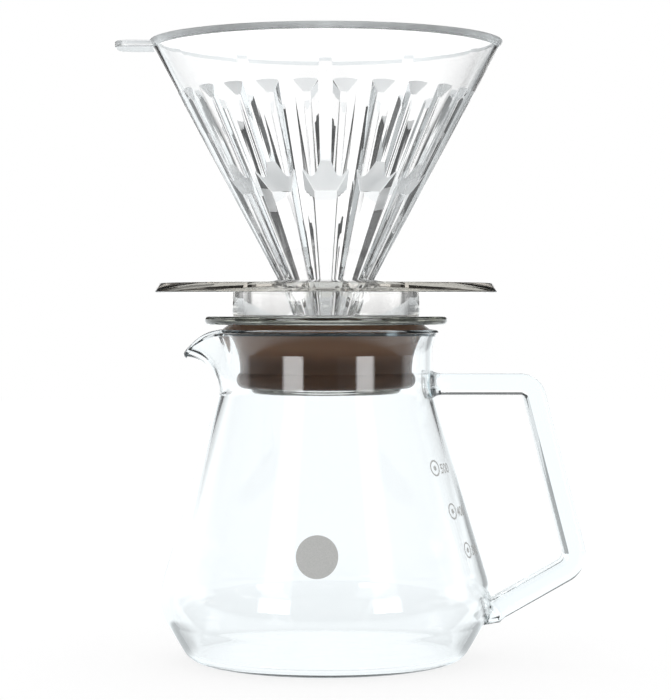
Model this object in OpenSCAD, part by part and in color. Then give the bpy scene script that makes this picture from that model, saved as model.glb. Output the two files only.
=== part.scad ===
// Pour-over coffee dripper standing on the lid of a glass server.
// Millimetres. The origin is the centre of the server's flat bottom, +Z is up,
// the handle points to +X, and the spout and the dripper's tab point to -X.

/* [Server body] */
// Outer diameter at the belly
server_d = 112; // [104:1:122]
// Height of the rim above the table
server_h = 112; // [106:1:122]
// Outer diameter of the neck
neck_d = 72; // [66:1:76]
// Height at which the sloping side meets the neck
shoulder_z = 92; // [88:1:96]
// Wall of the blown glass
glass_t = 2; // [1.6:0.1:2.6]
// Height of the belly's widest place
belly_z = 20; // [17:0.5:24]
// Radius that rounds the belly into the sloping side above it
belly_r = 34; // [26:1:44]
// Radius that rounds the belly into the heel below it
heel_r = 14; // [10:0.5:18]
// Lean of the heel's side from upright, in degrees
heel_lean = 31; // [26:0.5:36]
// Radius that rounds the heel into the flat bottom
bottom_edge_r = 7; // [4:0.5:9]
// Radius that rounds the sloping side into the neck
shoulder_r = 15; // [8:1:22]
// Radius of the flare below the rim
flare_r = 18; // [14:1:24]
// Height of the flare below the rim
flare_h = 8.6; // [6:0.2:10]
// Radius that rounds the rim's outer edge
rim_edge_r = 0.7; // [0.4:0.1:1]

/* [Spout] */
// Distance of the spout's tip from the axis
spout_reach = 48.4; // [45:0.2:52]
// Drop of the spout's tip below the rim
spout_drop = 7.8; // [6:0.2:10]
// Glass left below the lip at the tip
spout_lip = 1.4; // [1:0.1:2]
// Outer width of the spout's channel
spout_w = 16; // [13:0.5:20]

/* [Handle] */
// Thickness of the strap, seen from the side
handle_t = 7.2; // [6:0.2:9]
// Width of the strap
handle_w = 13; // [10:0.5:16]
// Radius of the strap's long edges
handle_edge_r = 1.9; // [1.5:0.1:2.9]
// Height of the upper arm's middle
handle_top_z = 93.5; // [89:0.5:96]
// Distance of the upper corner from the axis
handle_top_x = 69.8; // [64:0.2:76]
// Height of the lower corner
handle_low_z = 32.6; // [29:0.2:37]
// Distance of the lower corner from the axis
handle_low_x = 85.4; // [80:0.2:92]
// Height of the lower weld on the belly
handle_weld_z = 16; // [13:0.5:19]
// Bend radius of the upper corner, at the middle of the strap
handle_top_bend = 5.2; // [4.8:0.2:9]
// Bend radius of the lower corner, at the middle of the strap
handle_low_bend = 7; // [5:0.2:10]

/* [Lid] */
// Diameter of the lid's disc
lid_d = 82.2; // [79:0.2:88]
// Thickness of the lid's disc
lid_t = 2.8; // [2.4:0.1:3.6]
// Radius that rounds the disc's upper edge
lid_edge_r = 0.8; // [0.5:0.1:1.1]
// Radius that rounds the disc's lower edge
lid_under_r = 1.4; // [0.8:0.1:1.6]
// Outer diameter of the cup under the disc
cup_d = 51; // [46:0.5:54]
// Wall of the cup
cup_t = 2.4; // [2:0.1:3]
// Depth of the cup below the disc
cup_depth = 23.7; // [22:0.1:27]
// Diameter of the drip opening in the cup's floor
drip_d = 24; // [20:0.5:28]

/* [Seal] */
// Height of the seal's top above the server's rim
seal_rise = 1.7; // [1.2:0.1:2.4]
// Diameter of the seal's top under the lid
seal_top_d = 66; // [62:0.2:68]
// Depth of the sealing lip's underside below the rim
lip_depth = 1.6; // [1.2:0.1:2.2]
// Clearance of the sealing lip in the flared mouth
lip_gap = 0.25; // [0.15:0.05:0.4]
// Depth of the whole seal below the rim
seal_depth = 20; // [17:0.5:21.5]
// Radial room between the plug's top and the neck
plug_gap = 1.4; // [0.8:0.1:2]
// How much the plug's radius shrinks to its waist
plug_taper = 3.4; // [2.5:0.1:4]
// Height of the plug's taper
plug_taper_h = 12.4; // [11:0.2:13.4]
// How far the bottom bead stands out of the waist
bead_out = 1.2; // [0.8:0.1:1.6]
// Radial room between the seal and the cup
cup_gap = 0.1; // [0.05:0.01:0.2]

/* [Dripper base] */
// Diameter of the flange's lower edge
flange_d = 116.2; // [108:0.2:124]
// Height of the flange's bevelled edge
flange_edge_t = 3.2; // [2.6:0.1:3.6]
// How far the edge's bevel leans in
flange_bevel = 1.5; // [0.8:0.1:2]
// Rise of the flange's top from its edge to the socket
flange_rise = 1.1; // [0.8:0.1:2]
// Outer diameter of the foot ring
foot_d = 63.6; // [60:0.2:68]
// Wall of the foot ring
foot_t = 3.6; // [2.6:0.1:4.4]
// Height of the foot ring
foot_h = 8; // [7.4:0.1:10]
// Depth of the socket that takes the funnel's collar
socket_depth = 3; // [2.4:0.1:3.4]
// Radial clearance of the collar in the socket
socket_gap = 0.08; // [0.05:0.01:0.1]
// Radial room round the cone below the socket
throat_gap = 0.6; // [0.4:0.1:0.9]

/* [Dripper funnel] */
// Outer diameter of the rim
funnel_d = 119.6; // [112:0.2:128]
// Height of the cone
funnel_h = 90.8; // [84:0.2:98]
// Outer diameter of the outlet
outlet_d = 21.8; // [20:0.2:24]
// Drop of the outlet below the collar
outlet_drop = 7.2; // [6:0.1:8]
// Wall of the cone, measured level
funnel_t = 2.2; // [1.6:0.1:2.6]
// Height of the bevel inside the rim
rim_bevel_h = 2.3; // [1.6:0.1:3]
// Flat left on top of the rim
rim_flat = 0.6; // [0.4:0.1:1]
// Width of the collar outside the cone
collar_w = 1.5; // [1:0.1:2.2]

/* [Ribs] */
// Number of wide lower ribs; each carries two upper ribs
rib_count = 12; // [8:1:12]
// Start of the upper ribs below the rim
upper_start = 16.8; // [12:0.2:20]
// Height of the chamfer at the top of the upper ribs
upper_chamfer = 3.4; // [2:0.2:5]
// Depth of the upper ribs at their start
upper_depth = 1.6; // [1.2:0.1:2]
// Half width of an upper rib at the wall, in degrees
upper_base = 4.7; // [4:0.1:5]
// Half width of an upper rib's crest, in degrees
upper_crest = 1.4; // [1:0.1:2.4]
// Start of the lower ribs below the rim
lower_start = 44.7; // [40:0.1:50]
// Height of the ramp at the top of the lower ribs
lower_ramp = 6.3; // [4:0.1:8]
// Depth of the lower ribs at their start
lower_depth = 2.8; // [2.4:0.1:3.2]
// Half width of a lower rib at the wall, in degrees
lower_base = 12.9; // [12.7:0.1:13.4]
// Half width of a lower rib's crest, in degrees
lower_crest = 7.5; // [6:0.1:8.5]

/* [Tab] */
// How far the tab stands out of the rim
tab_reach = 11.4; // [8:0.2:14]
// Width of the tab
tab_w = 18; // [14:0.5:24]
// Thickness of the tab
tab_t = 2.3; // [1.8:0.1:3]
// Corner radius of the tab
tab_r = 5; // [2:0.5:6]

/* [Hidden] */
$fn = 96;
// Spare length by which a cutting solid passes the face that it cuts
over = 5;
// Points on each rounded stretch of a turned outline
arc_steps = 10;
// Points on each rounded edge of the strap
edge_steps = 4;
// Points along each bend of the strap
bend_steps = 7;
// Points on the edge of the seal's lip
lip_steps = 3;

// Radii and heights of the server
server_r = server_d / 2;
neck_r = neck_d / 2;
rim_r = neck_r + flare_r - sqrt(flare_r * flare_r - flare_h * flare_h);
flare_angle = asin(flare_h / flare_r);
// Direction, from level, of the belly arc's last radius, where the sloping side leaves it
belly_dx = neck_r - server_r + belly_r;
belly_dz = shoulder_z - belly_z;
belly_angle = atan2(belly_dz, belly_dx) - acos(belly_r / norm([belly_dx, belly_dz]));
// Heights at which the heel's straight side starts and ends, and the flat bottom's radius
heel_top_z = belly_z - heel_r * sin(heel_lean);
heel_low_z = bottom_edge_r * (1 - sin(heel_lean));
bottom_r = server_r - heel_r - (heel_top_z - heel_low_z) * tan(heel_lean)
    + (heel_r - bottom_edge_r) * cos(heel_lean);

// Heights of the stack on the rim
seal_z = server_h + seal_rise;
lid_z = seal_z + lid_t;
plate_z = lid_z + foot_h;
plate_top_z = plate_z + flange_edge_t + flange_rise;
ledge_z = plate_top_z - socket_depth;
outlet_z = ledge_z - outlet_drop;
funnel_z = outlet_z + funnel_h;

// Radii of the dripper
outlet_r = outlet_d / 2;
funnel_r = funnel_d / 2;
funnel_slope = (funnel_r - outlet_r) / funnel_h;
collar_r = cone_r(plate_top_z) + collar_w;
socket_r = collar_r + socket_gap;
throat_r = cone_r(ledge_z) + throat_gap;
bevel_z = funnel_z - rim_bevel_h;
bevel_slope = (funnel_r - rim_flat - cone_in_r(bevel_z)) / rim_bevel_h;

// Share of its depth by which a rib runs on into the wall
rib_root = 0.45;

// Points of an arc about [cx, cz], from angle a0 to a1
function arc(cx, cz, r, a0, a1, steps = arc_steps) =
    [for (i = [0 : steps]) let (a = a0 + (a1 - a0) * i / steps) [cx + r * cos(a), cz + r * sin(a)]];

// Outer radius of the cone at a height
function cone_r(z) = outlet_r + (z - outlet_z) * funnel_slope;

// Inner radius of the cone at a height
function cone_in_r(z) = cone_r(z) - funnel_t;

// Radius of the bevel inside the rim at a height
function bevel_r(z) = funnel_r - rim_flat + (z - funnel_z) * bevel_slope;

// Turned outline of the server, drawn in by inset from its outer face, up to the flare's end
function server_side(inset) =
    let (
        fillet = shoulder_r * tan(belly_angle / 2),
        flare_cz = server_h - flare_h
    )
    concat(
        arc(bottom_r, bottom_edge_r, bottom_edge_r - inset, -90, -heel_lean),
        arc(server_r - heel_r, belly_z, heel_r - inset, -heel_lean, 0),
        arc(server_r - belly_r, belly_z, belly_r - inset, 0, belly_angle),
        arc(neck_r + shoulder_r, shoulder_z + fillet, shoulder_r + inset, 180 + belly_angle, 180),
        arc(neck_r + flare_r, flare_cz, flare_r + inset, 180, 180 - flare_angle)
    );

// The server's outside as a filled solid, with its rim rounded at the outer edge
module server_outside() {
    rotate_extrude()
        polygon(concat(
            [[0, 0]],
            [for (p = server_side(0)) if (p[1] < server_h - rim_edge_r) p],
            arc(rim_r - rim_edge_r, server_h - rim_edge_r, rim_edge_r, 0, 90),
            [[0, server_h]]
        ));
}

// The hollow of the server, open at the top
module server_inside() {
    hollow = server_side(glass_t);
    mouth = hollow[len(hollow) - 1];
    rotate_extrude()
        polygon(concat(
            [[0, glass_t]],
            hollow,
            [[mouth[0], server_h + over], [0, server_h + over]]
        ));
}

// A bent round bar that follows the spout's channel from inside the neck to the tip
module spout_bar(r) {
    under_z = server_h - spout_drop - spout_lip;
    under_r = spout_reach - neck_r;
    translate([-spout_reach, 0, under_z - under_r])
        rotate([90, 0, 0])
            rotate_extrude(angle = 90)
                translate([under_r + spout_w / 2, 0])
                    circle(r = r);
}

// Everything below the rim and below the lip's slope from the rim to the spout's tip
module below_lip() {
    lip_angle = atan2(spout_drop, spout_reach - rim_r);
    size = 3 * server_d;
    intersection() {
        translate([-size / 2, -size / 2, server_h - size])
            cube(size);
        translate([-rim_r, 0, server_h])
            rotate([0, -lip_angle, 0])
                translate([-size / 2, -size / 2, -size])
                    cube(size);
    }
}

// Blown borosilicate jug with a flat bottom, a sloping heel and a drawn spout
module server_body() {
    color([0.88, 0.94, 0.95, 0.35])
        difference() {
            union() {
                server_outside();
                intersection() {
                    spout_bar(spout_w / 2);
                    below_lip();
                }
            }
            server_inside();
            spout_bar(spout_w / 2 - glass_t);
        }
}

// Rounded flat section of the strap, thickness along x and width along y
function strap_section() =
    let (x = handle_t / 2 - handle_edge_r, y = handle_w / 2 - handle_edge_r)
    [
        for (corner = [[x, y, 0], [-x, y, 90], [-x, -y, 180], [x, -y, 270]])
            each arc(corner[0], corner[1], handle_edge_r, corner[2], corner[2] + 90, edge_steps)
    ];

// Centres and headings along a bend to the right at corner p, between the headings a0 and a1
function strap_bend(p, bend, a0, a1) =
    let (
        start = p - bend * tan((a0 - a1) / 2) * [cos(a0), sin(a0)],
        centre = start + bend * [sin(a0), -cos(a0)]
    )
    [
        for (i = [0 : bend_steps])
            let (a = a0 + (a1 - a0) * i / bend_steps)
            [centre + bend * [-sin(a), cos(a)], a]
    ];

// The strap's section, set square to its heading at one place along the handle
function strap_ring(centre, heading) =
    [
        for (q = strap_section())
            [centre[0] - q[0] * sin(heading), q[1], centre[1] + q[0] * cos(heading)]
    ];

// Pressed glass strap, welded to the neck and to the belly
module server_handle() {
    top = [handle_top_x, handle_top_z];
    low = [handle_low_x, handle_low_z];
    weld = [server_r, handle_weld_z];
    side_a = atan2(low[1] - top[1], low[0] - top[0]);
    arm_a = atan2(weld[1] - low[1], weld[0] - low[0]);
    path = concat(
        [[[neck_r - handle_w / 2, handle_top_z], 0]],
        strap_bend(top, handle_top_bend, 0, side_a),
        strap_bend(low, handle_low_bend, side_a, arm_a),
        [[weld + handle_t * [cos(arm_a), sin(arm_a)], arm_a]]
    );
    n = len(strap_section());
    last = (len(path) - 1) * n;
    color([0.90, 0.95, 0.95, 0.35])
        difference() {
            polyhedron(
                points = [for (s = path) each strap_ring(s[0], s[1])],
                faces = concat(
                    [[for (i = [0 : n - 1]) i]],
                    [
                        for (k = [0 : len(path) - 2], i = [0 : n - 1])
                            let (j = (i + 1) % n)
                            [k * n + i, (k + 1) * n + i, (k + 1) * n + j, k * n + j]
                    ],
                    [[for (i = [0 : n - 1]) last + n - 1 - i]]
                )
            );
            server_outside();
        }
}

// Pressed glass lid: a disc with an open cup, and a drip opening in the cup's floor
module lid_plate() {
    lid_r = lid_d / 2;
    cup_r = cup_d / 2;
    cup_z = seal_z - cup_depth;
    drip_r = drip_d / 2;
    color([0.80, 0.86, 0.80, 0.45])
        rotate_extrude()
            polygon(concat(
                [[drip_r, cup_z]],
                arc(cup_r - cup_t, cup_z + cup_t, cup_t, -90, 0),
                [[cup_r, seal_z]],
                arc(lid_r - lid_under_r, seal_z + lid_under_r, lid_under_r, -90, 0),
                arc(lid_r - lid_edge_r, lid_z - lid_edge_r, lid_edge_r, 0, 90),
                [
                    [cup_r - cup_t, lid_z],
                    [cup_r - cup_t, cup_z + cup_t],
                    [drip_r, cup_z + cup_t]
                ]
            ));
}

// Silicone ring on the lid's cup: a lip in the flared mouth, a plug with hollow sides and a bead
module lid_seal() {
    bore_r = cup_d / 2 + cup_gap;
    plug_r = neck_r - glass_t - plug_gap;
    plug_z = server_h - lip_depth;
    waist_r = plug_r - plug_taper;
    waist_z = plug_z - plug_taper_h;
    bottom_z = server_h - seal_depth;
    bead_r = (waist_z - bottom_z) / 2;
    bead_end = acos(1 - bead_out / bead_r);
    sweep_r = (plug_taper * plug_taper + plug_taper_h * plug_taper_h) / (2 * plug_taper);
    sweep_end = 180 - asin(plug_taper_h / sweep_r);
    lip_r = flare_r + glass_t + lip_gap;
    lip_start = 180 - asin((flare_h - lip_depth) / lip_r);
    lip_end = 180 - asin(flare_h / lip_r);
    color([0.25, 0.19, 0.16])
        rotate_extrude()
            polygon(concat(
                [[bore_r, bottom_z]],
                arc(waist_r + bead_out - bead_r, bottom_z + bead_r, bead_r, -90, bead_end),
                arc(waist_r + sweep_r, waist_z, sweep_r, 180, sweep_end),
                arc(neck_r + flare_r, server_h - flare_h, lip_r, lip_start, lip_end, lip_steps),
                [[seal_top_d / 2, seal_z], [bore_r, seal_z]]
            ));
}

// Clear moulded base: a wide bevelled flange on a foot ring, with a socket for the funnel
module dripper_base() {
    flange_r = flange_d / 2;
    foot_r = foot_d / 2;
    color([0.86, 0.85, 0.82, 0.5])
        rotate_extrude()
            polygon([
                [throat_r, plate_z],
                [foot_r - foot_t, plate_z],
                [foot_r - foot_t, lid_z],
                [foot_r, lid_z],
                [foot_r, plate_z],
                [flange_r, plate_z],
                [flange_r - flange_bevel, plate_z + flange_edge_t],
                [socket_r, plate_top_z],
                [socket_r, ledge_z],
                [throat_r, ledge_z]
            ]);
}

// Corner of a rib: height, angle, and radius as a share of the cone's inner radius
function rib_point(z, a, share) =
    let (r = cone_in_r(z) * share) [r * cos(a), r * sin(a), z];

// Straight-sided rib whose edges all run towards the point of the cone
module rib(top_z, slope_h, bottom_z, base, crest, share) {
    wall = [
        for (z = [top_z, bottom_z], side = [-1, 1])
            rib_point(z, side * base, 1)
    ];
    edge = [
        for (z = [top_z - slope_h, bottom_z], side = [-1, 1])
            rib_point(z, side * crest, 1 - share)
    ];
    root = [for (i = [0 : 3]) wall[i] + rib_root * (wall[i] - edge[i])];
    polyhedron(
        points = concat(root, edge),
        faces = [
            [0, 4, 5, 1],
            [2, 3, 7, 6],
            [0, 1, 3, 2],
            [4, 6, 7, 5],
            [0, 2, 6, 4],
            [1, 5, 7, 3]
        ]
    );
}

// Flat thumb tab, level with the rim, before the cone's hollow is cut
module tab() {
    reach = funnel_r + tab_reach;
    translate([0, 0, funnel_z - tab_t])
        linear_extrude(tab_t) {
            translate([-reach + tab_r, -tab_w / 2])
                square([reach / 2, tab_w]);
            translate([-reach, -tab_w / 2 + tab_r])
                square([reach / 2, tab_w - 2 * tab_r]);
            for (side = [-1, 1])
                translate([-reach + tab_r, side * (tab_w / 2 - tab_r)])
                    circle(r = tab_r);
        }
}

// Clear moulded cone with a smooth outside, two tiers of ribs inside, a collar and a tab
module dripper_funnel() {
    upper_z = funnel_z - upper_start;
    lower_z = funnel_z - lower_start;
    pitch = 360 / rib_count;
    color([0.93, 0.95, 0.95, 0.4])
        union() {
            difference() {
                union() {
                    translate([0, 0, outlet_z])
                        cylinder(h = funnel_h, r1 = outlet_r, r2 = funnel_r);
                    translate([0, 0, ledge_z])
                        cylinder(h = socket_depth, r = collar_r);
                    tab();
                }
                translate([0, 0, outlet_z - over])
                    cylinder(
                        h = funnel_h + 2 * over,
                        r1 = cone_in_r(outlet_z - over),
                        r2 = cone_in_r(funnel_z + over)
                    );
                translate([0, 0, bevel_z - over])
                    cylinder(
                        h = rim_bevel_h + 2 * over,
                        r1 = bevel_r(bevel_z - over),
                        r2 = bevel_r(funnel_z + over)
                    );
            }
            for (i = [0 : rib_count - 1])
                rotate(i * pitch) {
                    rib(
                        lower_z, lower_ramp, outlet_z, lower_base, lower_crest,
                        lower_depth / cone_in_r(lower_z)
                    );
                    for (side = [-1, 1])
                        rotate(side * pitch / 4)
                            rib(
                                upper_z, upper_chamfer, lower_z - lower_ramp, upper_base,
                                upper_crest, upper_depth / cone_in_r(upper_z)
                            );
                }
        }
}

server_body();
server_handle();
lid_plate();
lid_seal();
dripper_base();
dripper_funnel();
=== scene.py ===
import math

import bmesh
import bpy
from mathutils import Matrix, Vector


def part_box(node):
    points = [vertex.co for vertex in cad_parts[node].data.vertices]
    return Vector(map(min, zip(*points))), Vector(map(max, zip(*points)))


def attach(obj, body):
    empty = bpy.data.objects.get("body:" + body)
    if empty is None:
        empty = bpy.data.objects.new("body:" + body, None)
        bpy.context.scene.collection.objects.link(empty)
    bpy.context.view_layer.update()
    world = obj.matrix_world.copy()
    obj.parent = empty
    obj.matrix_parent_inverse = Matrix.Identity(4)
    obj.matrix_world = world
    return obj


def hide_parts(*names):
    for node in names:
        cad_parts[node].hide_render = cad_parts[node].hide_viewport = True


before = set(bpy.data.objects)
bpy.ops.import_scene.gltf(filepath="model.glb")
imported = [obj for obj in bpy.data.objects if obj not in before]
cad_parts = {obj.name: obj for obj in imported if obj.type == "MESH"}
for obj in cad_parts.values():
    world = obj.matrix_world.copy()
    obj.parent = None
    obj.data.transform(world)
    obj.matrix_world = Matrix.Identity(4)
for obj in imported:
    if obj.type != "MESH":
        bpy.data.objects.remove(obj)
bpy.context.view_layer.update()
mm = 0.001


# Server body: a jug of clear borosilicate glass, blown in a mould to an even wall, with a flat
# bottom and a sloping heel. The rim is fire-polished, and the spout is drawn out of it while hot.
server_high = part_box("server_body")[1]
server_r = server_high.x
rim_z = server_high.z
neck_r = 36 * mm
glass_t = 2 * mm
belly_z = 20 * mm
belly_r = 34 * mm
heel_r = 14 * mm
heel_lean = 31
bottom_edge_r = 7 * mm
shoulder_z = 92 * mm
shoulder_r = 15 * mm
flare_r = 18 * mm
flare_h = 8.6 * mm
spout_reach = 48.4 * mm
spout_tip_z = 102.8 * mm
spout_spread = math.radians(27)
spout_pinch = 0.25
side_steps = 14
turn_steps = 192
merge_dist = 0.001 * mm
crease_a = 24
smudge_scale = 60
smudge_span = (0.55, 0.8)


def arc(cx, cz, r, start, end, steps):
    """Points of an arc in the turning plane, from one angle to another, in degrees."""
    angles = [math.radians(start + (end - start) * i / steps) for i in range(steps + 1)]
    return [(cx + r * math.cos(a), cz + r * math.sin(a)) for a in angles]


def run(start, end, steps):
    """Points between two places on a straight stretch, without its ends."""
    (r0, z0), (r1, z1) = start, end
    return [(r0 + (r1 - r0) * i / steps, z0 + (z1 - z0) * i / steps) for i in range(1, steps)]


def turned(outline, closed=True):
    """A bmesh made by turning an outline of (radius, height) points about the upright axis."""
    bm = bmesh.new()
    verts = [bm.verts.new((r, 0, z)) for r, z in outline]
    edges = [bm.edges.new(pair) for pair in zip(verts, verts[1:])]
    if closed:
        edges.append(bm.edges.new((verts[-1], verts[0])))
    bmesh.ops.spin(
        bm, geom=verts + edges, cent=(0, 0, 0), axis=(0, 0, 1), angle=math.tau, steps=turn_steps,
        use_merge=True,
    )
    bmesh.ops.remove_doubles(bm, verts=bm.verts, dist=merge_dist)
    bmesh.ops.recalc_face_normals(bm, faces=bm.faces)
    return bm


def soften(mesh, crease):
    """Shades a mesh smooth but for edges sharper than the crease angle in degrees."""
    mesh.shade_smooth()
    mesh.set_sharp_from_angle(angle=math.radians(crease))


def shown(bm, name, material):
    """An object made of a bmesh."""
    mesh = bpy.data.meshes.new(name)
    bm.to_mesh(mesh)
    bm.free()
    soften(mesh, crease_a)
    mesh.materials.append(material)
    piece = bpy.data.objects.new(name, mesh)
    bpy.context.scene.collection.objects.link(piece)
    return piece


def server_side(inset):
    """Outline of the server from its bottom edge to its rim, set in from the outer face."""
    lean_x = neck_r - server_r + belly_r
    lean_z = shoulder_z - belly_z
    lean = math.degrees(
        math.atan2(lean_z, lean_x) - math.acos(belly_r / math.hypot(lean_x, lean_z))
    )
    fillet = shoulder_r * math.tan(math.radians(lean) / 2)
    flare = math.degrees(math.asin(flare_h / flare_r))
    heel_sin, heel_cos = math.sin(math.radians(heel_lean)), math.cos(math.radians(heel_lean))
    heel_drop = belly_z - heel_r * heel_sin - bottom_edge_r * (1 - heel_sin)
    heel_run = (heel_r - bottom_edge_r) * heel_cos - heel_drop * heel_sin / heel_cos
    bottom_r = server_r - heel_r + heel_run
    bottom = arc(bottom_r, bottom_edge_r, bottom_edge_r - inset, -90, -heel_lean, side_steps)
    heel = arc(server_r - heel_r, belly_z, heel_r - inset, -heel_lean, 0, side_steps)
    belly = arc(server_r - belly_r, belly_z, belly_r - inset, 0, lean, side_steps)
    shoulder = arc(
        neck_r + shoulder_r, shoulder_z + fillet, shoulder_r + inset, 180 + lean, 180, side_steps
    )
    mouth = arc(neck_r + flare_r, rim_z - flare_h, flare_r + inset, 180, 180 - flare, side_steps)
    return (
        bottom + run(bottom[-1], heel[0], side_steps) + heel + belly[1:]
        + run(belly[-1], shoulder[0], side_steps) + shoulder
        + run(shoulder[-1], mouth[0], side_steps) + mouth
    )


server_face = server_side(0)


def server_face_r(z):
    """Radius of the server's outer face at a height."""
    for (r0, z0), (r1, z1) in zip(server_face, server_face[1:]):
        if z0 <= z < z1:
            return r0 + (r1 - r0) * (z - z0) / (z1 - z0)
    return server_face[-1][0]


def draw_spout(bm):
    """Bends the wall above the neck's root out and down into a beak at -X."""
    bend_r = spout_reach - neck_r
    root_z = spout_tip_z - bend_r
    for v in bm.verts:
        turn = math.atan2(v.co.y, -v.co.x)
        if abs(turn) > spout_spread or v.co.z < root_z:
            continue
        r = math.hypot(v.co.x, v.co.y)
        pull = math.cos(turn / spout_spread * math.pi / 2) ** 2
        bend = (v.co.z - root_z) / (rim_z - root_z) * math.pi / 2
        depth = bend_r + server_face_r(v.co.z) - r
        beak_r = spout_reach - depth * math.cos(bend)
        beak_z = root_z + depth * math.sin(bend)
        new_r = r + pull * (beak_r - r)
        narrow = turn * (1 - spout_pinch * pull * bend / (math.pi / 2))
        v.co.x = -new_r * math.cos(narrow)
        v.co.y = new_r * math.sin(narrow)
        v.co.z += pull ** 2 * (beak_z - v.co.z)


def new_material(name):
    """A material, its node tree and its main shader."""
    material = bpy.data.materials.new(name)
    material.use_nodes = True
    return material, material.node_tree, material.node_tree.nodes["Principled BSDF"]


def noise(tree, scale, detail):
    """Value of a noise that fills the piece, on Object coordinates."""
    place = tree.nodes.new("ShaderNodeTexCoord")
    pattern = tree.nodes.new("ShaderNodeTexNoise")
    pattern.inputs["Scale"].default_value = scale
    pattern.inputs["Detail"].default_value = detail
    tree.links.new(place.outputs["Object"], pattern.inputs["Vector"])
    return pattern.outputs["Fac"]


def faded(tree, value, span, low, high, kind="LINEAR"):
    """Value that goes from low to high as another crosses a span, and stays level beyond it."""
    node = tree.nodes.new("ShaderNodeMapRange")
    node.interpolation_type = kind
    tree.links.new(value, node.inputs["Value"])
    for name, number in zip(("From Min", "From Max", "To Min", "To Max"), (*span, low, high)):
        node.inputs[name].default_value = number
    return node.outputs["Result"]


def combined(tree, operation, *values):
    """Value of a math node, fed by sockets or plain numbers."""
    node = tree.nodes.new("ShaderNodeMath")
    node.operation = operation
    for socket, value in zip(node.inputs, values):
        if isinstance(value, bpy.types.NodeSocket):
            tree.links.new(value, socket)
        else:
            socket.default_value = value
    return node.outputs["Value"]


def dent(tree, shader, height, strength, distance):
    """Bumps a shader's surface by the value of a pattern."""
    bump = tree.nodes.new("ShaderNodeBump")
    bump.inputs["Strength"].default_value = strength
    bump.inputs["Distance"].default_value = distance
    tree.links.new(height, bump.inputs["Height"])
    tree.links.new(bump.outputs["Normal"], shader.inputs["Normal"])


def clear_material(name, ior, tint, density, wave, wave_size, smudge):
    """Clear glass or plastic: faint waves and smudges, a tint by depth, and faces marked as matt."""
    material, tree, shader = new_material(name)
    shader.inputs["Base Color"].default_value = (1, 1, 1, 1)
    shader.inputs["Transmission Weight"].default_value = 1
    shader.inputs["IOR"].default_value = ior
    smudged = faded(tree, noise(tree, smudge_scale, detail=4), smudge_span, 0, smudge)
    matt = tree.nodes.new("ShaderNodeAttribute")
    matt.attribute_name = "matt"
    rough = combined(tree, "MAXIMUM", smudged, matt.outputs["Fac"])
    tree.links.new(rough, shader.inputs["Roughness"])
    dent(tree, shader, noise(tree, 1 / wave_size, detail=1), strength=1, distance=wave)
    depth = tree.nodes.new("ShaderNodeVolumeAbsorption")
    depth.inputs["Color"].default_value = (*tint, 1)
    depth.inputs["Density"].default_value = density
    tree.links.new(depth.outputs["Volume"], tree.nodes["Material Output"].inputs["Volume"])
    return material


server_glass = clear_material(
    "server_glass", ior=1.47, tint=(0.80, 0.94, 1.0), density=12, wave=0.02 * mm,
    wave_size=14 * mm, smudge=0.01,
)
server_hollow = server_side(glass_t)
rim_edge_r = glass_t / 2
rim_edge_z = rim_z - rim_edge_r
rim_mid_r = (server_face[-1][0] + server_hollow[-1][0]) / 2
server_outline = (
    [(0, 0)] + [p for p in server_face if p[1] < rim_edge_z]
    + arc(rim_mid_r, rim_edge_z, rim_edge_r, 0, 180, steps=8)
    + [p for p in reversed(server_hollow) if p[1] < rim_edge_z] + [(0, glass_t)]
)
server_bm = turned(server_outline, closed=False)
draw_spout(server_bm)
server = shown(server_bm, "server_jug", server_glass)
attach(server, "server")
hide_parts("server_body")


# Prints: grey ceramic ink, screen-printed on the outside of the glass and fired on. Three volume
# marks, each a ring with a dot beside its number, stand near the handle, and a round patch in front.
print_lift = 0.05 * mm
print_turn_steps = 48
mark_ring_r = 2.7 * mm
mark_line = 0.6 * mm
mark_dot_r = 0.85 * mm
mark_gap = 0.6 * mm
mark_text_size = 4.4 * mm
mark_text_bold = 0.08 * mm
mark_text_drop = 1.9 * mm
patch_turn = -3
patch_z = 40.0 * mm
patch_r = 6.8 * mm
ink_grain_scale = 2600
ink_shades = [(0.3, (0.43, 0.44, 0.43)), (0.7, (0.51, 0.51, 0.50))]
ink_rough = 0.55
# Each mark has its number, its turn from the front in degrees and its height in millimetres.
marks = [("500", 55.6, 66.5), ("400", 61.0, 52.1), ("300", 65.2, 39.1)]


def print_on_glass(verts, turn, z):
    """Bends flat artwork onto the glass, with its origin at a turn from the front and a height."""
    for v in verts:
        along, up = v.co.x, v.co.y
        face_r = server_face_r(z + up)
        a = math.radians(turn) + along / face_r
        v.co = ((face_r + print_lift) * math.sin(a), -(face_r + print_lift) * math.cos(a), z + up)


def points_since(bm, known):
    """The points of a bmesh that were added after it had a known number of them."""
    bm.verts.ensure_lookup_table()
    return bm.verts[known:]


def add_ring(bm, inner_r, outer_r, rounds):
    """Flat rings of faces from an inner to an outer circle; returns their points."""
    known = len(bm.verts)
    radii = [inner_r + (outer_r - inner_r) * i / rounds for i in range(rounds + 1)]
    spoke = [bm.verts.new((r, 0, 0)) for r in radii]
    edges = [bm.edges.new(pair) for pair in zip(spoke, spoke[1:])]
    bmesh.ops.spin(
        bm, geom=spoke + edges, cent=(0, 0, 0), axis=(0, 0, 1), angle=math.tau,
        steps=print_turn_steps, use_merge=True,
    )
    return points_since(bm, known)


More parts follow.
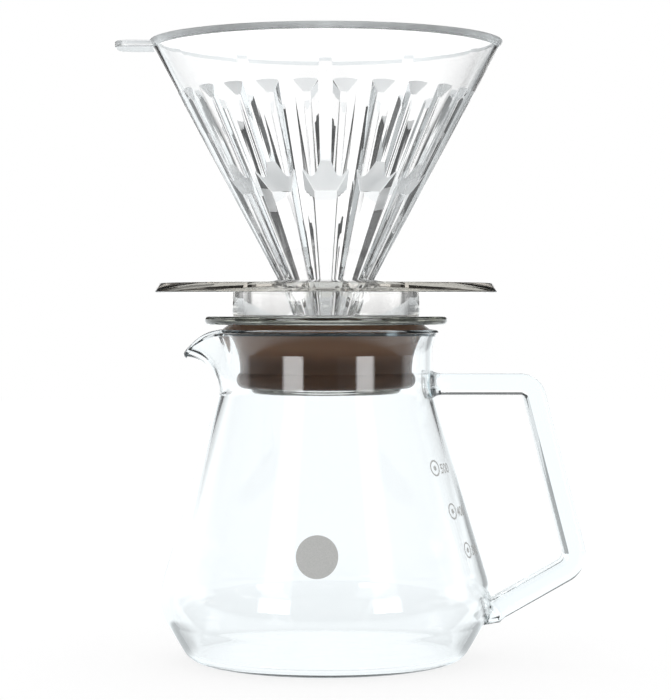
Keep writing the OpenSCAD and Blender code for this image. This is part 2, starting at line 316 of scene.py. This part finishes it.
def add_number(bm, body):
    """Flat digits, standing right of the ring; returns their points."""
    curve = bpy.data.curves.new("mark_number", "FONT")
    curve.body = body
    curve.size = mark_text_size
    curve.offset = mark_text_bold
    writing = bpy.data.objects.new("mark_number", curve)
    bpy.context.scene.collection.objects.link(writing)
    flat = bpy.data.meshes.new_from_object(
        writing.evaluated_get(bpy.context.evaluated_depsgraph_get())
    )
    bpy.data.objects.remove(writing)
    known = len(bm.verts)
    bm.from_mesh(flat)
    bpy.data.meshes.remove(flat)
    digits = points_since(bm, known)
    bmesh.ops.translate(bm, verts=digits, vec=(mark_ring_r + mark_gap, -mark_text_drop, 0))
    return digits


def shaded(tree, value, stops):
    """Colour by a value, between stops of a value and its colour."""
    ramp = tree.nodes.new("ShaderNodeValToRGB")
    tree.links.new(value, ramp.inputs["Fac"])
    elements = ramp.color_ramp.elements
    while len(elements) < len(stops):
        elements.new(0.5)
    for element, (position, colour) in zip(elements, stops):
        element.position = position
        element.color = (*colour, 1)
    return ramp.outputs["Color"]


def print_ink():
    """Grey fired ink, a little uneven in the screen print and slightly rough."""
    material, tree, shader = new_material("print_ink")
    grain = noise(tree, ink_grain_scale, detail=3)
    tree.links.new(shaded(tree, grain, ink_shades), shader.inputs["Base Color"])
    shader.inputs["Roughness"].default_value = ink_rough
    return material


print_bm = bmesh.new()
for number, mark_turn, mark_z in marks:
    artwork = add_ring(print_bm, mark_ring_r - mark_line, mark_ring_r, rounds=1)
    artwork += add_ring(print_bm, 0, mark_dot_r, rounds=2)
    artwork += add_number(print_bm, number)
    print_on_glass(artwork, mark_turn, mark_z * mm)
patch = add_ring(print_bm, 0, patch_r, rounds=8)
print_on_glass(patch, patch_turn, patch_z)
bmesh.ops.remove_doubles(print_bm, verts=print_bm.verts, dist=merge_dist)
prints = shown(print_bm, "server_prints", print_ink())
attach(prints, "server")


# Server handle: one flat strap of the same glass, pressed and bent hot, with rounded edges.
# Its two ends are melted onto the neck and the heel, where they swell into a weld.
handle_t = 7.2 * mm
handle_w = 13 * mm
handle_edge_r = 1.9 * mm
handle_top = Vector((69.8 * mm, 93.5 * mm))
handle_low = Vector((85.4 * mm, 32.6 * mm))
handle_weld_z = 16 * mm
handle_top_bend = 5.2 * mm
handle_low_bend = 7 * mm
handle_bend_steps = 14
weld_swell = 1.28
weld_length = 3.2 * mm
weld_shares = (0, 0.3, 0.6, 1)
weld_sink = 0.3 * mm


def strap_stations():
    """Middle, heading and swell of the strap from the neck to the heel, in the XZ plane."""
    weld = Vector((server_r, handle_weld_z))
    side = handle_low - handle_top
    arm = weld - handle_low
    side_a = math.atan2(side.y, side.x)
    arm_a = math.atan2(arm.y, arm.x)
    start = Vector((server_face_r(handle_top.y), handle_top.y))
    back = Vector((math.cos(arm_a), math.sin(arm_a)))
    swells = [1 + (weld_swell - 1) * (1 - share) ** 2 for share in weld_shares]
    ends = list(zip(weld_shares, swells))
    stations = [(start + Vector((weld_length * share, 0)), 0, swell) for share, swell in ends]
    for corner, bend, a0, a1 in (
        (handle_top, handle_top_bend, 0, side_a),
        (handle_low, handle_low_bend, side_a, arm_a),
    ):
        begin = corner - bend * math.tan((a0 - a1) / 2) * Vector((math.cos(a0), math.sin(a0)))
        centre = begin + bend * Vector((math.sin(a0), -math.cos(a0)))
        for i in range(handle_bend_steps + 1):
            a = a0 + (a1 - a0) * i / handle_bend_steps
            stations.append((centre + bend * Vector((-math.sin(a), math.cos(a))), a, 1))
    for share, swell in reversed(ends):
        stations.append((weld - back * weld_length * share, arm_a, swell))
    return stations


def melt_onto_wall(ring):
    """Moves the strap's end along X until it lies just inside the server's outer face."""
    for v in ring:
        wall_r = server_face_r(v.co.z) - weld_sink
        v.co.x = math.sqrt(wall_r ** 2 - v.co.y ** 2)


def strap():
    """A bmesh swept from the rounded flat section along the stations."""
    bm = bmesh.new()
    x, y = handle_t / 2 - handle_edge_r, handle_w / 2 - handle_edge_r
    section = [
        p for cx, cy, a in ((x, y, 0), (-x, y, 90), (-x, -y, 180), (x, -y, 270))
        for p in arc(cx, cy, handle_edge_r, a, a + 90, steps=7)
    ]
    rings = []
    for middle, heading, swell in strap_stations():
        rise = Vector((-math.sin(heading), 0, math.cos(heading)))
        centre = Vector((middle.x, 0, middle.y))
        rings.append([
            bm.verts.new(centre + swell * (across * rise + Vector((0, along, 0))))
            for across, along in section
        ])
    melt_onto_wall(rings[0])
    melt_onto_wall(rings[-1])
    loops = [
        [bm.edges.new((ring[i - 1], ring[i])) for i in range(len(ring))] for ring in rings
    ]
    for loop, following in zip(loops, loops[1:]):
        bmesh.ops.bridge_loops(bm, edges=loop + following)
    bmesh.ops.holes_fill(bm, edges=loops[0] + loops[-1], sides=0)
    bmesh.ops.recalc_face_normals(bm, faces=bm.faces)
    return bm


handle_glass = clear_material(
    "handle_glass", ior=1.47, tint=(0.80, 0.96, 1.0), density=8, wave=0.03 * mm,
    wave_size=9 * mm, smudge=0.01,
)
handle = shown(strap(), "server_strap_handle", handle_glass)
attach(handle, "server")
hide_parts("server_handle")


# Lid seal: a ring of brown silicone, moulded in one piece, stretched over the lid's cup. Its lip
# bears on the server's flared mouth, and its plug with hollow sides and a bead fills the neck.
seal_low, seal_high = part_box("lid_seal")
seal_bore_r = 25.6 * mm
seal_top_r = 33 * mm
seal_lip_depth = 1.6 * mm
seal_lip_gap = 0.15 * mm
seal_lip_edge_r = 0.45 * mm
seal_lip_side_a = -20
seal_lip_top_a = 50
seal_plug_r = 32.6 * mm
seal_taper = 3.4 * mm
seal_taper_h = 12.4 * mm
seal_bead_out = 1.2 * mm
# Between these heights the seal's colour is painted lighter towards the top: painted light on the
# lip.
seal_painted_light_span = (99 * mm, 108 * mm)
seal_cloud_scale = 45
seal_cloud_share = 0.25
seal_shades = [(0, (0.05, 0.029, 0.019)), (1, (0.165, 0.096, 0.061))]
seal_rough = (0.2, 0.3)
seal_skin_scale = 1800
seal_skin_strength = 0.25
seal_skin_depth = 0.04 * mm
contact_gap = 0.04 * mm


def mouth_r(z):
    """Inner radius of the server's flared mouth at a height."""
    inner_r = flare_r + glass_t
    return neck_r + flare_r - math.sqrt(inner_r ** 2 - (z - rim_z + flare_h) ** 2)


def seal_outline():
    """Bore, bottom bead, hollow side and rounded lip of the seal."""
    plug_z = rim_z - seal_lip_depth
    waist_r = seal_plug_r - seal_taper
    waist_z = plug_z - seal_taper_h
    bead_r = (waist_z - seal_low.z) / 2
    bead_mid_r = waist_r + seal_bead_out - bead_r
    bead_end = math.degrees(math.acos(1 - seal_bead_out / bead_r))
    sweep_r = (seal_taper ** 2 + seal_taper_h ** 2) / (2 * seal_taper)
    sweep_end = 180 - math.degrees(math.asin(seal_taper_h / sweep_r))
    top_z = seal_high.z - contact_gap
    edge_r = seal_lip_edge_r
    lip_low = mouth_r(plug_z) - seal_lip_gap - edge_r
    lip_high = mouth_r(rim_z - edge_r) - seal_lip_gap - edge_r
    return (
        [(seal_bore_r, seal_low.z)]
        + arc(bead_mid_r, seal_low.z + bead_r, bead_r, -90, bead_end, steps=14)
        + arc(waist_r + sweep_r, waist_z, sweep_r, 180, sweep_end, steps=16)
        + arc(lip_low, plug_z + edge_r, edge_r, -90, seal_lip_side_a, steps=5)
        + arc(lip_high, rim_z - edge_r, edge_r, seal_lip_side_a, seal_lip_top_a, steps=5)
        + [(seal_top_r, top_z), (seal_bore_r, top_z)]
    )


def place_xyz(tree, kind):
    """X, Y and Z of a place, in one kind of coordinates."""
    place = tree.nodes.new("ShaderNodeTexCoord")
    split = tree.nodes.new("ShaderNodeSeparateXYZ")
    tree.links.new(place.outputs[kind], split.inputs["Vector"])
    return [split.outputs[axis] for axis in "XYZ"]


def silicone():
    """Brown silicone, with light painted on at the top where the lip is thin, and a fine skin."""
    material, tree, shader = new_material("seal_silicone")
    height = place_xyz(tree, "Object")[2]
    # Painted light: the colour grows lighter towards the top of the seal, mixed with its uneven
    # tone.
    painted_top_light = faded(tree, height, seal_painted_light_span, 0, 1, "SMOOTHSTEP")
    cloud = noise(tree, seal_cloud_scale, detail=5)
    uneven_tone_and_light = combined(tree, "MULTIPLY_ADD", cloud, seal_cloud_share, painted_top_light)
    tree.links.new(shaded(tree, uneven_tone_and_light, seal_shades), shader.inputs["Base Color"])
    tree.links.new(faded(tree, cloud, (0, 1), *seal_rough), shader.inputs["Roughness"])
    skin = noise(tree, seal_skin_scale, detail=2)
    dent(tree, shader, skin, seal_skin_strength, seal_skin_depth)
    shader.inputs["IOR"].default_value = 1.41
    shader.inputs["Specular IOR Level"].default_value = 0.15
    shader.inputs["Subsurface Weight"].default_value = 0.15
    shader.inputs["Subsurface Radius"].default_value = (1, 0.5, 0.3)
    shader.inputs["Subsurface Scale"].default_value = 1.5 * mm
    return material


seal = shown(turned(seal_outline()), "lid_seal_ring", silicone())
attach(seal, "lid")
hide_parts("lid_seal")


# Lid plate: pressed glass, a flat disc with rounded edges and an open cup below it. The cup holds
# the seal, and the round opening in its floor lets the coffee through.
lid_low, lid_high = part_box("lid_plate")
lid_r = lid_high.x
lid_under_z = seal_high.z
lid_edge_r = 0.8 * mm
lid_under_r = 1.4 * mm
cup_r = 25.5 * mm
cup_t = 2.4 * mm
cup_round_r = 1.8 * mm
drip_r = 12 * mm
drip_edge_r = 1.1 * mm

cup_in_r = cup_r - cup_t
cup_floor_z = lid_low.z + cup_t
lid_outline = (
    arc(drip_r + drip_edge_r, lid_low.z + drip_edge_r, drip_edge_r, 180, 270, steps=6)
    + arc(cup_r - cup_round_r, lid_low.z + cup_round_r, cup_round_r, -90, 0, steps=8)
    + [(cup_r, lid_under_z)]
    + arc(lid_r - lid_under_r, lid_under_z + lid_under_r, lid_under_r, -90, 0, steps=8)
    + arc(lid_r - lid_edge_r, lid_high.z - lid_edge_r, lid_edge_r, 0, 90, steps=8)
    + arc(cup_in_r + lid_edge_r, lid_high.z - lid_edge_r, lid_edge_r, 90, 180, steps=8)
    + arc(cup_in_r - cup_round_r, cup_floor_z + cup_round_r, cup_round_r, 0, -90, steps=8)
    + arc(drip_r + drip_edge_r, cup_floor_z - drip_edge_r, drip_edge_r, 90, 180, steps=6)
)
lid_glass = clear_material(
    "lid_glass", ior=1.5, tint=(0.64, 0.65, 0.59), density=46, wave=0.02 * mm,
    wave_size=8 * mm, smudge=0.012,
)
lid = shown(turned(lid_outline), "lid_disc_and_cup", lid_glass)
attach(lid, "lid")
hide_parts("lid_plate")


# Dripper base: clear plastic, moulded as a wide flange with a bevelled edge on a foot ring. A
# stepped socket in its middle takes the funnel's collar.
base_low, base_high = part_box("dripper_base")
flange_r = base_high.x
flange_edge_t = 3.2 * mm
flange_bevel = 1.5 * mm
flange_bevel_a = 25
flange_top_a = 88
flange_edge_r = 0.35 * mm
foot_r = 31.8 * mm
foot_t = 3.6 * mm
foot_h = 8 * mm
foot_edge_r = 0.5 * mm
socket_r = 17.97 * mm
socket_depth = 3 * mm
throat_r = 15.38 * mm

plate_z = base_low.z + foot_h
ledge_z = base_high.z - socket_depth
foot_in_r = foot_r - foot_t
foot_edge_z = base_low.z + contact_gap + foot_edge_r
flange_low_z = plate_z + flange_edge_r
flange_bevel_z = plate_z + flange_edge_t - flange_edge_r
flange_bevel_r = flange_r - flange_bevel - flange_edge_r
base_outline = (
    [(throat_r, plate_z), (foot_in_r, plate_z)]
    + arc(foot_in_r + foot_edge_r, foot_edge_z, foot_edge_r, 180, 270, steps=5)
    + arc(foot_r - foot_edge_r, foot_edge_z, foot_edge_r, -90, 0, steps=5)
    + [(foot_r, plate_z)]
    + arc(flange_r - flange_edge_r, flange_low_z, flange_edge_r, -90, flange_bevel_a, steps=6)
    + arc(flange_bevel_r, flange_bevel_z, flange_edge_r, flange_bevel_a, flange_top_a, steps=6)
    + [(socket_r, base_high.z), (socket_r, ledge_z), (throat_r, ledge_z)]
)
base_plastic = clear_material(
    "base_plastic", ior=1.57, tint=(0.72, 0.69, 0.64), density=20, wave=0.02 * mm,
    wave_size=10 * mm, smudge=0.02,
)
base = shown(turned(base_outline), "dripper_flange_base", base_plastic)
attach(base, "base")
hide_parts("dripper_base")


# Dripper funnel: clear plastic, moulded in one piece. The cone is smooth outside; inside, each wide
# lower rib carries two narrow upper ribs. A collar seats in the base, and a tab at the rim lifts it.
funnel_low, funnel_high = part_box("dripper_funnel")
funnel_z = funnel_high.z
outlet_z = funnel_low.z
funnel_r = funnel_high.y
outlet_r = 10.9 * mm
outlet_lip = 0.4 * mm
funnel_t = 2.2 * mm
funnel_crease_a = 14
rim_bevel_h = 1.7 * mm
rim_bevel_a = 140
rim_flat = 0.5 * mm
rim_edge_soft = 0.15 * mm
rim_matt = 0.3
collar_w = 1.5 * mm
collar_edge_r = 0.3 * mm
rib_count = 12
rib_root = 0.45
rib_edge_r = 0.22 * mm
rib_flat_a = 3
rib_top_matt = 0.38
rib_top_normal = 0.6
upper_start = 16.8 * mm
upper_chamfer = 3.4 * mm
upper_depth = 1.6 * mm
upper_base = 4.7
upper_crest = 1.4
upper_shift = 0.25
lower_start = 44.7 * mm
lower_ramp = 6.3 * mm
lower_depth = 2.8 * mm
lower_base = 12.9
lower_crest = 7.5
tab_w = 18 * mm
tab_t = 2.2 * mm
tab_r = 5 * mm
tab_edge_r = 0.4 * mm
tab_root_depth = 0.1 * mm
tab_drop = 0.15 * mm

funnel_slope = (funnel_r - outlet_r) / (funnel_z - outlet_z)


def cone_r(z):
    """Outer radius of the cone at a height."""
    return outlet_r + (z - outlet_z) * funnel_slope


def cone_shell():
    """A bmesh of the cone's wall with its collar and a rounded rim."""
    collar_r = cone_r(base_high.z) + collar_w
    collar_edge_z = base_high.z - collar_edge_r
    seat_z = ledge_z + contact_gap
    lean = math.degrees(math.atan(funnel_slope))
    bevel_z = funnel_z - rim_bevel_h
    rim_out_r = funnel_r - rim_edge_soft * (funnel_slope + math.hypot(1, funnel_slope))
    rim_in_r = funnel_r - rim_flat + rim_edge_soft
    outline = (
        [(outlet_r - funnel_t, outlet_z), (outlet_r, outlet_z)]
        + [(cone_r(seat_z), seat_z), (collar_r, seat_z)]
        + arc(collar_r - collar_edge_r, collar_edge_z, collar_edge_r, 0, 90, steps=4)
        + [(cone_r(base_high.z), base_high.z), (cone_r(bevel_z), bevel_z)]
        + arc(rim_out_r, funnel_z - rim_edge_soft, rim_edge_soft, -lean, 90, steps=6)
        + arc(rim_in_r, funnel_z - rim_edge_soft, rim_edge_soft, 90, rim_bevel_a, steps=4)
        + [(cone_r(bevel_z) - funnel_t, bevel_z)]
    )
    return turned(outline)


def rib_corner(z, angle, share):
    """Corner of a rib: height, angle, and radius as a share of the cone's inner radius."""
    r = (cone_r(z) - funnel_t) * share
    a = math.radians(angle)
    return Vector((r * math.cos(a), r * math.sin(a), z))


def add_rib(bm, turn, top_z, slope_h, bottom_z, base_a, crest_a, share):
    """Adds one straight-sided rib, whose edges all run towards the point of the cone."""
    wall = [rib_corner(z, turn + s * base_a, 1) for z in (top_z, bottom_z) for s in (-1, 1)]
    crest = [
        rib_corner(z, turn + s * crest_a, 1 - share)
        for z in (top_z - slope_h, bottom_z) for s in (-1, 1)
    ]
    root = [w + rib_root * (w - c) for w, c in zip(wall, crest)]
    root_verts = [bm.verts.new(p) for p in root]
    crest_verts = [bm.verts.new(p) for p in crest]
    bmesh.ops.convex_hull(bm, input=root_verts + crest_verts)
    edges = [
        e for e in {e for v in crest_verts for e in v.link_edges}
        if e.calc_face_angle(0) > math.radians(rib_flat_a)
    ]
    bmesh.ops.bevel(
        bm, geom=edges, offset=rib_edge_r, segments=2, profile=0.5, affect="EDGES", material=-1
    )


def rib_set(upper):
    """A bmesh of all the upper ribs or all the lower ribs."""
    bm = bmesh.new()
    lower_z = funnel_z - lower_start
    upper_z = funnel_z - upper_start
    pitch = 360 / rib_count
    for i in range(rib_count):
        if upper:
            for side in (-1, 1):
                add_rib(
                    bm, (i + side * upper_shift) * pitch, upper_z, upper_chamfer,
                    lower_z - lower_ramp, upper_base, upper_crest,
                    upper_depth / (cone_r(upper_z) - funnel_t),
                )
        else:
            add_rib(
                bm, i * pitch, lower_z, lower_ramp, outlet_z + outlet_lip, lower_base,
                lower_crest, lower_depth / (cone_r(lower_z) - funnel_t),
            )
    bmesh.ops.recalc_face_normals(bm, faces=bm.faces)
    return bm


def thumb_tab():
    """A bmesh of the flat tab, whose root follows the rim's curve inside the wall."""
    bm = bmesh.new()
    root_r = funnel_r - funnel_t + tab_root_depth
    half = tab_w / 2
    spread = math.degrees(math.asin(half / root_r))
    tip = funnel_low.x
    outline = (
        arc(0, 0, root_r, 180 - spread, 180 + spread, steps=8)
        + arc(tip + tab_r, -half + tab_r, tab_r, 270, 180, steps=8)
        + arc(tip + tab_r, half - tab_r, tab_r, 180, 90, steps=8)
    )
    low_z = funnel_z - tab_drop - tab_t
    face = bm.faces.new([bm.verts.new((x, y, low_z)) for x, y in outline])
    grown = bmesh.ops.extrude_face_region(bm, geom=[face])["geom"]
    lifted = [v for v in grown if isinstance(v, bmesh.types.BMVert)]
    bmesh.ops.translate(bm, verts=lifted, vec=(0, 0, tab_t))
    bmesh.ops.recalc_face_normals(bm, faces=bm.faces)
    rims = [e for e in bm.edges if abs(e.verts[0].co.z - e.verts[1].co.z) < tab_t / 2]
    bmesh.ops.bevel(
        bm, geom=rims, offset=tab_edge_r, segments=3, profile=0.5, affect="EDGES", material=-1
    )
    return bm


def welded(bm, additions, name, material):
    """One piece grown from a bmesh and the solids that are moulded onto it."""
    piece = shown(bm, name, material)
    helpers = [shown(extra, f"{name}_addition", material) for extra in additions]
    for helper in helpers:
        union = piece.modifiers.new("union", "BOOLEAN")
        union.operation = "UNION"
        union.solver = "EXACT"
        union.object = helper
    solid = bpy.data.meshes.new_from_object(
        piece.evaluated_get(bpy.context.evaluated_depsgraph_get())
    )
    piece.modifiers.clear()
    piece.data = solid
    for helper in helpers:
        bpy.data.objects.remove(helper)
    solid.name = name
    soften(solid, funnel_crease_a)
    return piece


def mark_matt(mesh):
    """Marks the rim and the sloping tops of the ribs as matt, as the mould leaves them."""
    roughness = mesh.attributes.new("matt", "FLOAT", "FACE")
    for face, mark in zip(mesh.polygons, roughness.data):
        x, y, z = face.center
        r = math.hypot(x, y)
        if z > funnel_z - rim_bevel_h:
            mark.value = rim_matt
        elif face.normal.z > rib_top_normal and r < cone_r(z) - funnel_t:
            mark.value = rib_top_matt


funnel_plastic = clear_material(
    "funnel_plastic", ior=1.57, tint=(0.86, 0.92, 0.94), density=4, wave=0.01 * mm,
    wave_size=12 * mm, smudge=0.012,
)
funnel = welded(
    cone_shell(), [rib_set(upper=False), rib_set(upper=True), thumb_tab()], "dripper_cone",
    funnel_plastic,
)
mark_matt(funnel.data)
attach(funnel, "funnel")
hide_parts("dripper_funnel")


# Floor: a plain pale table, which takes the soft shadow of the glass. Clear and glossy pieces see it
# glowing bright, with painted shade on each side of the heel, slightly towards the front, and far
# out on the handle's side. Its front is painted dim in reflections.
floor_r = 2.2
floor_paint_grey = 0.2
floor_glow_light = 0.82
floor_seen_tint = (1.05, 1.1, 1.12)
floor_shade_at = (63 * mm, 3 * mm)
floor_shade_size = (15 * mm, 30 * mm)
floor_shade_edge = (0.4, 1.6)
floor_shade_light = 0.5
floor_front_span = (-220 * mm, -70 * mm)
floor_front_light = 0.04
floor_front_y = -60 * mm
floor_near_span = (20 * mm, 260 * mm)
floor_near_light = 0.93
floor_side_span = (260 * mm, 420 * mm)
floor_side_light = 0.5
# Light that has met no reflection on its way has a glossy depth below this.
first_reflection = 0.5
floor_bm = bmesh.new()
bmesh.ops.create_circle(floor_bm, cap_ends=True, radius=floor_r, segments=96)
bmesh.ops.translate(floor_bm, verts=floor_bm.verts, vec=(0, 0, -contact_gap))
floor_paint, floor_tree, floor_shader = new_material("floor_paint")
floor_shader.inputs["Base Color"].default_value = (*[floor_paint_grey] * 3, 1)
floor_shader.inputs["Roughness"].default_value = 1
floor_shader.inputs["Specular IOR Level"].default_value = 0
floor_shader.inputs["Emission Color"].default_value = (1, 1, 1, 1)
floor_shader.inputs["Emission Strength"].default_value = floor_glow_light
floor_x, floor_y = place_xyz(floor_tree, "Object")[:2]
floor_path = floor_tree.nodes.new("ShaderNodeLightPath").outputs


def off_shade(value, axis):
    """Square of the distance from the middle of a shade along one axis, in its half sizes."""
    offset = combined(floor_tree, "SUBTRACT", value, floor_shade_at[axis])
    share = combined(floor_tree, "DIVIDE", offset, floor_shade_size[axis])
    return combined(floor_tree, "POWER", share, 2)


# Painted shade: a dark patch on the floor on each side of the heel, then painted dimming in front
# and far out on the handle's side.
shade_x = off_shade(combined(floor_tree, "ABSOLUTE", floor_x), 0)
shade_off = combined(floor_tree, "ADD", shade_x, off_shade(floor_y, 1))
floor_light = 1
for floor_place, floor_span, floor_low, floor_high in (
    (shade_off, floor_shade_edge, floor_shade_light, 1),
    (floor_y, floor_front_span, floor_front_light, 1),
    (floor_y, floor_near_span, floor_near_light, 1),
    (floor_x, floor_side_span, 1, floor_side_light),
):
    floor_step = faded(floor_tree, floor_place, floor_span, floor_low, floor_high, "SMOOTHSTEP")
    floor_light = combined(floor_tree, "MULTIPLY", floor_light, floor_step)
floor_through = combined(floor_tree, "LESS_THAN", floor_path["Glossy Depth"], first_reflection)
floor_front = combined(floor_tree, "LESS_THAN", floor_y, floor_front_y)
floor_bright = combined(floor_tree, "MULTIPLY", floor_through, floor_front)
floor_light = combined(floor_tree, "MAXIMUM", floor_light, floor_bright)
floor_glow = floor_tree.nodes.new("ShaderNodeEmission")
floor_glow.inputs["Color"].default_value = (*floor_seen_tint, 1)
floor_tree.links.new(floor_light, floor_glow.inputs["Strength"])
floor_clear = combined(
    floor_tree, "MAXIMUM", floor_path["Is Transmission Ray"], floor_path["Is Glossy Ray"]
)
floor_mix = floor_tree.nodes.new("ShaderNodeMixShader")
floor_tree.links.new(floor_clear, floor_mix.inputs["Fac"])
floor_tree.links.new(floor_shader.outputs["BSDF"], floor_mix.inputs[1])
floor_tree.links.new(floor_glow.outputs["Emission"], floor_mix.inputs[2])
floor_output = floor_tree.nodes["Material Output"]
floor_tree.links.new(floor_mix.outputs["Shader"], floor_output.inputs["Surface"])
floor = shown(floor_bm, "floor", floor_paint)


# Cards: low white boards behind the server, bright on the left and in two dimmer steps on the right.
# They show only through clear pieces and in glossy ones.
card_y = 350 * mm
card_tint = (0.945, 0.985, 1)
# Each card has its name, its left, right, lower and upper edge in millimetres, and its light.
cards = [
    ("left_card", -600, 170, 0, 115, 1.12),
    ("right_card", 170, 600, 75, 115, 0.8),
    ("right_low_card", 170, 600, 0, 75, 0.42),
]
for card_name, card_x0, card_x1, card_z0, card_z1, card_light in cards:
    card_bm = bmesh.new()
    card_bm.faces.new([
        card_bm.verts.new((x * mm, card_y, z * mm))
        for x, z in ((card_x0, card_z0), (card_x1, card_z0), (card_x1, card_z1), (card_x0, card_z1))
    ])
    card_paint, _, card_shader = new_material(card_name)
    card_shader.inputs["Base Color"].default_value = (0, 0, 0, 1)
    card_shader.inputs["Specular IOR Level"].default_value = 0
    card_shader.inputs["Emission Color"].default_value = (*card_tint, 1)
    card_shader.inputs["Emission Strength"].default_value = card_light
    card = shown(card_bm, card_name, card_paint)
    card.visible_camera = False
    card.visible_diffuse = False
    card.visible_shadow = False


# Studio light: an even white tent. Clear and glossy surfaces see a narrow white panel behind the
# object, a wide one on each side, and dim gaps between them. Reflections also show two softboxes in
# a dark front, which is white where clear pieces are seen straight through.
panel_light = 1.22
gap_light = 0.06
side_light = 0.3
dark_light = 0.04
ceiling_light = 0.15
room_light = 0.12
softbox_light = 6
ceiling_fade = (math.radians(10), math.radians(16))
front_limit = 0.3
# Each stop has its bearing from the back in degrees and its light.
studio_ring = [
    (-180, dark_light), (-156, dark_light), (-154, softbox_light), (-134, softbox_light),
    (-132, room_light), (-88, room_light), (-84, panel_light), (-50, panel_light),
    (-46, side_light), (-35, side_light), (-33, gap_light), (-16, gap_light),
    (-15, panel_light), (15, panel_light), (16, gap_light), (33, gap_light),
    (35, side_light), (60, side_light), (64, panel_light), (84, panel_light),
    (88, room_light), (126, room_light), (127.5, softbox_light), (145, softbox_light),
    (147, room_light), (166, room_light), (169, dark_light),
]
world = bpy.data.worlds.new("studio")
bpy.context.scene.world = world
world.use_nodes = True
sky = world.node_tree
way_x, way_y, way_z = place_xyz(sky, "Generated")
sky_path = sky.nodes.new("ShaderNodeLightPath").outputs
bearing = combined(sky, "ARCTAN2", way_x, way_y)
ring_share = combined(sky, "ADD", combined(sky, "DIVIDE", bearing, math.tau), 0.5)
ring_stops = [((turn + 180) / 360, [light / softbox_light] * 3) for turn, light in studio_ring]
ceiling = faded(
    sky, combined(sky, "ARCSINE", way_z), ceiling_fade, softbox_light,
    softbox_light * ceiling_light, "SMOOTHSTEP",
)
seen = combined(sky, "MULTIPLY", shaded(sky, ring_share, ring_stops), ceiling)
through = combined(sky, "LESS_THAN", sky_path["Glossy Depth"], first_reflection)
through = combined(sky, "MULTIPLY", through, combined(sky, "LESS_THAN", way_y, front_limit))
seen = combined(sky, "MAXIMUM", seen, combined(sky, "MULTIPLY", through, panel_light))
clear = combined(sky, "MAXIMUM", sky_path["Is Transmission Ray"], sky_path["Is Glossy Ray"])
plain = combined(sky, "SUBTRACT", 1, clear)
sky_light = combined(sky, "ADD", combined(sky, "MULTIPLY", clear, seen), plain)
background = sky.nodes["Background"]
background.inputs["Color"].default_value = (1, 1, 1, 1)
sky.links.new(sky_light, background.inputs["Strength"])


# Camera: a long lens square to the handle, at the height of the foot ring and tipped slightly down.
# The many bounces carry light through all the walls of the clear pieces.
camera_x = 3.2 * mm
camera_aim = Vector((camera_x, 0, 105 * mm))
scene = bpy.context.scene
camera_data = bpy.data.cameras.new("camera")
camera = bpy.data.objects.new("camera", camera_data)
scene.collection.objects.link(camera)
scene.camera = camera
camera.location = Vector((camera_x, -790 * mm, 120 * mm))
camera.rotation_euler = (camera_aim - camera.location).to_track_quat("-Z", "Y").to_euler()
camera_data.lens = 119.5
camera_data.sensor_width = 36
scene.view_settings.view_transform = "Standard"
scene.cycles.max_bounces = 40
scene.cycles.transmission_bounces = 40
scene.cycles.glossy_bounces = 24
